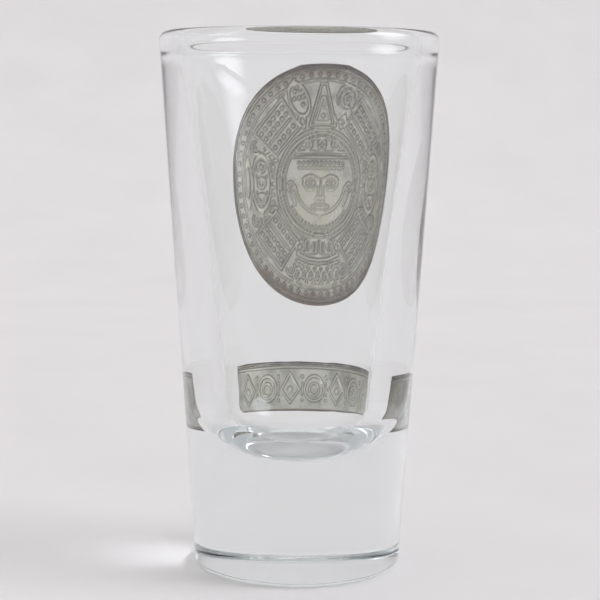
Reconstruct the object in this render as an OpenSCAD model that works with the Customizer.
// Souvenir shot glass: a pressed clear glass with a heavy base and a rolled rim,
// a round stamped foil medallion and a curved foil nameplate, each held to the
// outside of the wall by its own film of clear glue.
// Millimetres, +Z up, origin at the centre of the underside, badges on the +Y side.

/* [Glass] */
// Overall height of the glass
glass_h = 89; // [74:1:110]
// Diameter across the rolled rim, its widest place
rim_d = 46; // [38:0.5:56]
// Diameter of the foot where the wall's taper meets the table
foot_d = 34.4; // [28.4:0.2:41.4]
// Thickness of the solid glass under the cup
base_t = 19; // [12:0.2:24]
// Thickness of the wall just above the solid base
wall_foot_t = 7.2; // [6:0.1:8.7]
// Thickness of the wall just under the rim
wall_top_t = 2.9; // [2:0.1:4]
// How much thicker than a straight taper the wall is half way up
wall_bow = 0.85; // [0:0.05:1.1]
// Radius that rounds the bottom of the cup
cup_round_r = 9; // [4:0.5:9]
// Radius that rounds the heel of the foot
heel_r = 1.2; // [0.6:0.1:3]

/* [Rim] */
// Height of the rolled rim
rim_h = 4.6; // [4:0.1:7]
// How far the rolled rim stands out from the wall
rim_step = 0.25; // [0.1:0.05:1.2]
// Height over which the wall swells out to the rim's widest place
bead_h = 2.3; // [1:0.1:3]
// Radius of the lip's outer edge
lip_out_r = 1.5; // [0.5:0.1:1.6]
// Radius of the lip's inner edge
lip_in_r = 1.5; // [0.4:0.1:1.6]

/* [Medallion] */
// Diameter of the medallion, measured round the wall
medallion_d = 41.2; // [34:0.2:49.4]
// Plain glass between the rim and the medallion
medallion_gap = 2.4; // [1:0.1:6]
// Width of the flat lip outside the raised border
lip_w = 0.3; // [0.2:0.1:0.8]
// Width of the raised border band
border_w = 2.3; // [1.5:0.1:3.5]
// Outer diameter of the raised ring round the mask
mask_ring_d = 17.5; // [12:0.5:19]
// Width of the raised ring round the mask
mask_ring_w = 1; // [0.6:0.1:2]
// Length of each pointed ray from the mask ring
ray_l = 7; // [3:0.5:8]
// Width of a ray at its foot
ray_w = 4.2; // [2:0.1:6]
// Inner radius of the four diagonal panels
panel_in_r = 10; // [9:0.2:11]
// Outer radius of the four diagonal panels
panel_out_r = 15.4; // [13:0.2:15.6]
// Angle that each diagonal panel spans
panel_span = 50; // [30:1:56]
// Width of the raised line round each diagonal panel
panel_line_w = 0.7; // [0.4:0.1:1]
// Diameter of the beads inside the border
bead_d = 1; // [0.6:0.1:1.4]
// Number of beads inside the border
bead_n = 44; // [16:4:48]
// Diameter of the three studs in each diagonal panel
panel_stud_d = 1.5; // [0.8:0.1:2]

/* [Nameplate] */
// Length of the nameplate, measured round the wall
plate_w = 46; // [30:0.5:54]
// Height of the nameplate
plate_h = 10.1; // [8:0.1:13]
// Plain glass between the medallion and the nameplate
plate_gap = 9.4; // [2:0.1:12]
// Width of the nameplate's raised frame
frame_w = 0.9; // [0.5:0.1:1.5]
// Number of lozenges along the nameplate
lozenge_n = 5; // [3:2:7]

/* [Foil and glue] */
// Thickness of each glue film
glue_t = 0.1; // [0.05:0.01:0.2]
// Thickness of the foil
foil_t = 0.2; // [0.1:0.01:0.3]
// Height of the stamped relief above the foil
relief_h = 0.25; // [0.1:0.01:0.35]
// How far the foil laps past the edge of its glue
foil_lap = 0.4; // [0.2:0.1:1]

/* [Hidden] */
$fn = 96;

glass_colour = [0.80, 0.87, 0.86, 0.45];
foil_colour = [0.55, 0.55, 0.52];
glue_colour = [0.90, 0.90, 0.84, 0.60];

arc_steps = 12;      // straight pieces in each rounded corner of the glass
wall_steps = 14;     // straight pieces in the bowed inner wall
outline_steps = 72;  // straight pieces in a round outline on the wall
band_steps = 6;      // straight pieces along each side of a curved band
plate_steps = 12;    // straight pieces along each long side of the nameplate
cut_depth = rim_d;   // long enough to cut through the whole wall
cut_over = 1;        // how far a cutter reaches past what it cuts
cup_round_share = 0.85;  // most of the cup's floor that its rounded bottom may take up
low_relief_share = 0.8;  // height of the flat raised shapes, as a share of the relief

// Outer wall: a straight taper from the foot to the shoulder under the rim
shoulder_z = glass_h - rim_h;
shoulder_r = rim_d / 2 - rim_step;
foot_r = foot_d / 2;
function wall_r(z) = foot_r + (shoulder_r - foot_r) * z / shoulder_z;
outer_tilt = atan((shoulder_r - foot_r) / shoulder_z);

// Inner wall: the outer wall less a thickness that shrinks towards the rim
function wall_share(z) = (z - base_t) / (shoulder_z - base_t);
function wall_t(z) =
    wall_foot_t + (wall_top_t - wall_foot_t) * wall_share(z)
    + wall_bow * 4 * wall_share(z) * (1 - wall_share(z));
function cup_r(z) = wall_r(z) - wall_t(z);

// Rounded bottom of the cup, an arc that meets the inner wall and the flat floor
cup_tilt = atan(cup_r(base_t + cup_round_r + 1) - cup_r(base_t + cup_round_r));
cup_arc_r = min(cup_round_r, cup_r(base_t) * cup_round_share) / (1 - sin(cup_tilt));
cup_arc_top = base_t + cup_arc_r * (1 - sin(cup_tilt));
cup_arc_x = cup_r(cup_arc_top) - cup_arc_r * cos(cup_tilt);

// Heel, an arc that meets the flat underside and the outer taper
heel_x = wall_r(heel_r) - heel_r / cos(outer_tilt);

// Rolled rim: the wall swells out smoothly, then a rounded edge, a flat lip and a rounded edge.
// A thin wall limits the two roundings, so that a little of the flat lip always stays.
rim_out_r = rim_d / 2;
rim_in_r = cup_r(shoulder_z);
lip_flat = 0.1;
lip_edge_limit = (rim_out_r - rim_in_r - lip_flat) / 2;
lip_out_edge = min(lip_out_r, lip_edge_limit);
lip_in_edge = min(lip_in_r, lip_edge_limit);
function swell(t) = t * t * (3 - 2 * t);

// Heights of the badges on the wall
medallion_r = medallion_d / 2;
medallion_z = shoulder_z - medallion_gap - medallion_r;
plate_z = medallion_z - medallion_r - plate_gap - plate_h / 2;

// The mask, in millimetres for a ring of mask_drawn_d round it, growing with the ring
mask_drawn_d = 17;
mask_scale = mask_ring_d / mask_drawn_d;
brow_foot = 3.4;
brow_top = 5.2;
brow_half_w = 4.6;
brow_slant = 0.4;
eye_x = 2.3;
eye_z = 1.1;
eye_half_w = 1.25;
eye_half_h = 0.6;
eye_steps = 16;
ear_x = 5.6;
ear_z = -0.4;
ear_d = 1.5;
nose_top = 1.6;
nose_foot = -1.7;
nose_top_half_w = 0.35;
nose_foot_half_w = 0.95;
mouth_top = -2.7;
mouth_foot = -3.4;
mouth_half_w = 1.7;

// Layers of a badge, measured outwards from the wall
foil_in = glue_t;
foil_out = glue_t + foil_t;
foil_mid = glue_t + foil_t / 2;
relief_out = foil_out + relief_h;
low_relief_out = foil_out + relief_h * low_relief_share;

function arc_points(x, z, r, from, to, steps) =
    [for (i = [0:steps]) let (a = from + (to - from) * i / steps) [x + r * cos(a), z + r * sin(a)]];

// Where a point at arc length s and height z on the wall is seen from straight in front
function wrap(s, z) = [wall_r(z) * sin(s / wall_r(z) * 180 / PI), z];
function wrap_all(points) = [for (p = points) wrap(p[0], p[1])];
function round_outline(r, z) =
    [for (i = [0:outline_steps - 1]) let (a = i * 360 / outline_steps) [r * cos(a), z + r * sin(a)]];

module glass_profile() {
    polygon(concat(
        [[0, 0]],
        arc_points(heel_x, heel_r, heel_r, -90, -outer_tilt, arc_steps),
        [for (i = [0:arc_steps])
            [shoulder_r + rim_step * swell(i / arc_steps), shoulder_z + bead_h * i / arc_steps]],
        arc_points(rim_out_r - lip_out_edge, glass_h - lip_out_edge, lip_out_edge, 0, 90, arc_steps),
        arc_points(rim_in_r + lip_in_edge, glass_h - lip_in_edge, lip_in_edge, 90, 180, arc_steps),
        [for (i = [0:wall_steps - 1]) let (z = shoulder_z + (cup_arc_top - shoulder_z) * i / wall_steps)
            [cup_r(z), z]],
        arc_points(cup_arc_x, base_t + cup_arc_r, cup_arc_r, -cup_tilt, -90, arc_steps),
        [[0, base_t]]
    ));
}

module glass_body() {
    color(glass_colour) rotate_extrude() glass_profile();
}

// Sleeve that follows the outside of the wall, between two distances from it
module sleeve(low, high, inner, outer) {
    rotate_extrude() polygon([
        [wall_r(low) + inner, low], [wall_r(low) + outer, low],
        [wall_r(high) + outer, high], [wall_r(high) + inner, high]
    ]);
}

// Part of a sleeve inside an outline drawn flat and wrapped on to the +Y side
module wrapped(points, low, high, inner, outer) {
    intersection() {
        sleeve(low, high, inner, outer);
        rotate([90, 0, 0]) mirror([0, 0, 1])
            linear_extrude(cut_depth) polygon(wrap_all(points));
    }
}

// Moves its children to arc length s and height z on the wall, their +Z pointing outwards
module on_wall(s, z) {
    rotate([0, 0, -s / wall_r(z) * 180 / PI]) translate([0, wall_r(z), z]) rotate([-90, 0, 0]) children();
}

module disc_layer(r, inner, outer) {
    wrapped(round_outline(r, medallion_z),
        medallion_z - r - cut_over, medallion_z + r + cut_over, inner, outer);
}

// Raised features start half way through the foil, so that they are one solid with it
module raised_ring(outer_r, inner_r) {
    difference() {
        disc_layer(outer_r, foil_mid, relief_out);
        disc_layer(inner_r, 0, relief_out + cut_over);
    }
}

module raised_shape(points, low, high) {
    wrapped(points, low, high, foil_mid, low_relief_out);
}

// One pointed ray, turned about the centre of the medallion
module ray(angle) {
    foot = mask_ring_d / 2 - mask_ring_w / 2;
    tip = foot + ray_l;
    flat = [[-ray_w / 2, foot], [ray_w / 2, foot], [0, tip]];
    raised_shape(
        [for (p = flat)
            [p[0] * cos(angle) - p[1] * sin(angle), medallion_z + p[0] * sin(angle) + p[1] * cos(angle)]],
        medallion_z - tip - cut_over, medallion_z + tip + cut_over);
}

// Flat outline of a band between two radii and two angles of the medallion
function band_outline(in_r, out_r, from, to) = concat(
    arc_points(0, medallion_z, out_r, from, to, band_steps),
    arc_points(0, medallion_z, in_r, to, from, band_steps)
);

// A framed panel between two rays, with three studs in it
module panel(angle) {
    mid_r = (panel_in_r + panel_out_r) / 2;
    inset_angle = panel_line_w / mid_r * 180 / PI;
    low = medallion_z - panel_out_r - cut_over;
    high = medallion_z + panel_out_r + cut_over;
    difference() {
        raised_shape(band_outline(panel_in_r, panel_out_r, angle - panel_span / 2, angle + panel_span / 2),
            low, high);
        wrapped(
            band_outline(panel_in_r + panel_line_w, panel_out_r - panel_line_w,
                angle - panel_span / 2 + inset_angle, angle + panel_span / 2 - inset_angle),
            low, high, 0, relief_out + cut_over);
    }
    for (step = [-1, 0, 1]) let (a = angle + step * panel_span / 4)
        stud(mid_r * cos(a), medallion_z + mid_r * sin(a), panel_stud_d);
}

// A stud standing on the foil
module stud(s, z, d) {
    on_wall(s, z) translate([0, 0, foil_mid]) cylinder(d = d, h = relief_out - foil_mid, $fn = 24);
}

// A calm mask of plain shapes: brow band, lidded eyes, wedge nose and straight mouth
module mask() {
    low = medallion_z - mask_ring_d / 2;
    high = medallion_z + mask_ring_d / 2;
    function placed(points) = [for (p = points) [p[0] * mask_scale, medallion_z + p[1] * mask_scale]];
    function band(foot_half_w, top_half_w, foot, top) =
        placed([[-foot_half_w, foot], [foot_half_w, foot], [top_half_w, top], [-top_half_w, top]]);
    raised_shape(band(brow_half_w, brow_half_w - brow_slant, brow_foot, brow_top), low, high);
    for (side = [-1, 1]) {
        raised_shape(
            placed([for (i = [0:eye_steps - 1]) let (a = i * 360 / eye_steps)
                [side * eye_x + eye_half_w * cos(a), eye_z + eye_half_h * sin(a)]]),
            low, high);
        stud(side * ear_x * mask_scale, medallion_z + ear_z * mask_scale, ear_d * mask_scale);
    }
    raised_shape(band(nose_foot_half_w, nose_top_half_w, nose_foot, nose_top), low, high);
    raised_shape(band(mouth_half_w, mouth_half_w, mouth_foot, mouth_top), low, high);
}

module medallion() {
    border_r = medallion_r - lip_w;
    bead_r = border_r - border_w - bead_d;
    color(foil_colour) union() {
        disc_layer(medallion_r, foil_in, foil_out);
        raised_ring(border_r, border_r - border_w);
        raised_ring(mask_ring_d / 2, mask_ring_d / 2 - mask_ring_w);
        for (angle = [0:90:270]) {
            ray(angle);
            panel(angle + 45);
        }
        for (i = [0:bead_n - 1]) let (a = (i + 0.5) * 360 / bead_n)
            stud(bead_r * cos(a), medallion_z + bead_r * sin(a), bead_d);
        mask();
    }
}

module medallion_glue() {
    color(glue_colour) disc_layer(medallion_r - foil_lap, 0, foil_in);
}

function plate_outline(inset) = [
    for (side = [-1, 1], i = [0:plate_steps]) let (t = side * (2 * i / plate_steps - 1))
        [t * (plate_w / 2 - inset), plate_z + side * (plate_h / 2 - inset)]
];

module plate_layer(inset, inner, outer) {
    wrapped(plate_outline(inset),
        plate_z - plate_h / 2 - cut_over, plate_z + plate_h / 2 + cut_over, inner, outer);
}

module lozenge(s) {
    half_w = plate_w / lozenge_n / 2 - frame_w;
    half_h = plate_h / 2 - lip_w - frame_w * 2;
    raised_shape([[s - half_w, plate_z], [s, plate_z - half_h], [s + half_w, plate_z], [s, plate_z + half_h]],
        plate_z - plate_h / 2, plate_z + plate_h / 2);
}

module nameplate() {
    pitch = (plate_w - 2 * lip_w - 2 * frame_w) / lozenge_n;
    color(foil_colour) union() {
        plate_layer(0, foil_in, foil_out);
        difference() {
            plate_layer(lip_w, foil_mid, relief_out);
            plate_layer(lip_w + frame_w, 0, relief_out + cut_over);
        }
        for (i = [0:lozenge_n - 1]) lozenge((i - (lozenge_n - 1) / 2) * pitch);
        for (i = [1:lozenge_n - 1], side = [-1, 1])
            stud((i - lozenge_n / 2) * pitch, plate_z + side * plate_h / 4, bead_d);
    }
}

module nameplate_glue() {
    color(glue_colour) plate_layer(foil_lap, 0, foil_in);
}

glass_body();
medallion_glue();
medallion();
nameplate_glue();
nameplate();
